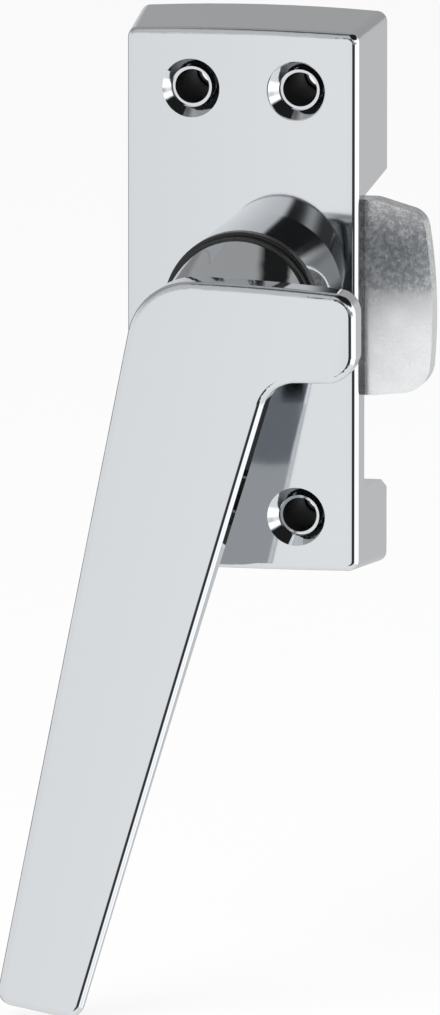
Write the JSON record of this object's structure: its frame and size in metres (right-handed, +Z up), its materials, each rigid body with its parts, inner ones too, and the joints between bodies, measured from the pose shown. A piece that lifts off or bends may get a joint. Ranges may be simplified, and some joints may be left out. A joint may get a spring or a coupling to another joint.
{
  "type": "window fastener",
  "caption": "Surface-mounted window fastener with a lever handle that turns a tongue out of its hollow housing.",
  "frame": {"origin": "where the spindle's axis meets the mounting plane, on the back plate", "axes": "+X right towards the tongue, +Z up, -Y out of the wall towards the hand; closed at rest"},
  "size_m": [0.0581, 0.0552, 0.1456],
  "materials": {
    "polished_chrome": "polished, chrome-plated zinc casting",
    "galvanised_steel": "zinc-plated, mottled",
    "bright_steel": "bright turned steel",
    "spring_steel": "tempered, oiled",
    "black_nylon": "moulded black nylon"
  },
  "bodies": {
    "root": {"housing": "polished_chrome", "bearing_bush": "black_nylon", "detent_spring_left": "spring_steel", "detent_spring_right": "spring_steel", "back_plate": "galvanised_steel", "plate_screws": "bright_steel"},
    "handle_assembly": {"slide_washer": "black_nylon", "handle": "polished_chrome", "handle_pin": "bright_steel", "spindle": "bright_steel", "wave_washer": "spring_steel", "thrust_washer": "bright_steel", "tongue": "galvanised_steel", "spacer_sleeve": "bright_steel", "detent_cam": "bright_steel", "end_washer": "bright_steel", "retaining_ring": "spring_steel"}
  },
  "joints": [
    {"name": "handle_turn", "type": "hinge", "parent": "root", "child": "handle_assembly", "pos_m": [0, 0, 0], "axis": [0, 1, 0], "range_deg": [0, 90], "deforming": ["detent_spring_left", "detent_spring_right"]}
  ]
}
